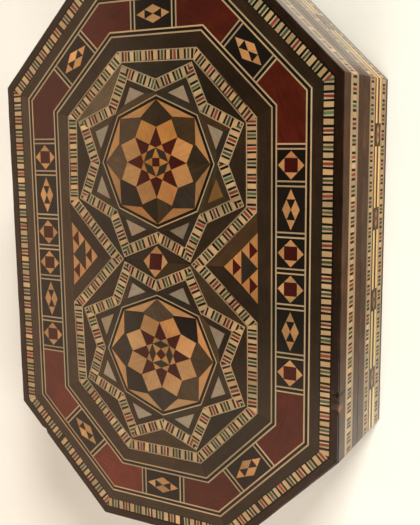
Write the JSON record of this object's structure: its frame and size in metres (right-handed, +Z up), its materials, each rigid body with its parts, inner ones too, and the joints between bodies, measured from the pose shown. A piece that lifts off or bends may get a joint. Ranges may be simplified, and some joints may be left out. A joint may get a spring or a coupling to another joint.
{
  "type": "mosaic box",
  "caption": "Long octagonal wooden box with a lift-off lid, inlaid flush with star medallions, striped bands, red corners and small framed motifs.",
  "frame": {"origin": "middle of the flat underside", "axes": "+Z up through the lid, +Y along the box, +X across it"},
  "size_m": [0.1984, 0.2998, 0.067],
  "materials": {
    "walnut": "dark walnut under clear gloss lacquer",
    "plain_wood": "plain light wood, lightly sealed",
    "black_wood": "black and dark brown stained wood under gloss lacquer",
    "red_wood": "red wood under gloss lacquer",
    "cream_wood": "cream wood lines with black between them, lacquered",
    "striped_mosaic": "cream, black, red and green wood mosaic, lacquered",
    "star_mosaic": "orange, brown and dark red wood tiles, lacquered",
    "motif_mosaic": "orange and dark red wood tiles in black wood, lacquered"
  },
  "bodies": {
    "root": {"base_bottom_panel": "plain_wood", "base_lower_mosaic": "striped_mosaic", "base_stringing": "cream_wood", "base_upper_mosaic": "striped_mosaic", "base_wall_back": "walnut", "base_wall_back_left": "walnut", "base_wall_back_right": "walnut", "base_wall_front": "walnut", "base_wall_front_left": "walnut", "base_wall_front_right": "walnut", "base_wall_left": "walnut", "base_wall_right": "walnut", "diamond_panel_back_1": "motif_mosaic", "diamond_panel_back_left_1": "motif_mosaic", "diamond_panel_back_right_1": "motif_mosaic", "diamond_panel_front_1": "motif_mosaic", "diamond_panel_front_left_1": "motif_mosaic", "diamond_panel_front_right_1": "motif_mosaic", "diamond_panel_left_2": "motif_mosaic", "diamond_panel_left_5": "motif_mosaic", "diamond_panel_right_2": "motif_mosaic", "diamond_panel_right_5": "motif_mosaic", "lid_dark_ring": "black_wood", "lid_rim_back": "walnut", "lid_rim_back_left": "walnut", "lid_rim_back_right": "walnut", "lid_rim_front": "walnut", "lid_rim_front_left": "walnut", "lid_rim_front_right": "walnut", "lid_rim_left": "walnut", "lid_rim_right": "walnut", "lid_side_mosaic": "striped_mosaic", "lid_striped_border": "striped_mosaic", "lid_top_panel": "plain_wood", "medallion_back": "star_mosaic", "medallion_front": "star_mosaic", "octagon_band": "striped_mosaic", "panel_stringing": "cream_wood", "red_corner_panel_1": "red_wood", "red_corner_panel_2": "red_wood", "red_corner_panel_3": "red_wood", "red_corner_panel_4": "red_wood", "red_corner_panel_5": "red_wood", "red_corner_panel_6": "red_wood", "red_corner_panel_7": "red_wood", "red_corner_panel_8": "red_wood", "square_panel_left_1": "motif_mosaic", "square_panel_left_3": "motif_mosaic", "square_panel_left_4": "motif_mosaic", "square_panel_left_6": "motif_mosaic", "square_panel_right_1": "motif_mosaic", "square_panel_right_3": "motif_mosaic", "square_panel_right_4": "motif_mosaic", "square_panel_right_6": "motif_mosaic", "star_band_back": "striped_mosaic", "star_band_front": "striped_mosaic", "star_ground": "black_wood", "waist_rhombus": "motif_mosaic", "waist_triangle_left": "motif_mosaic", "waist_triangle_right": "motif_mosaic"}
  },
  "joints": []
}
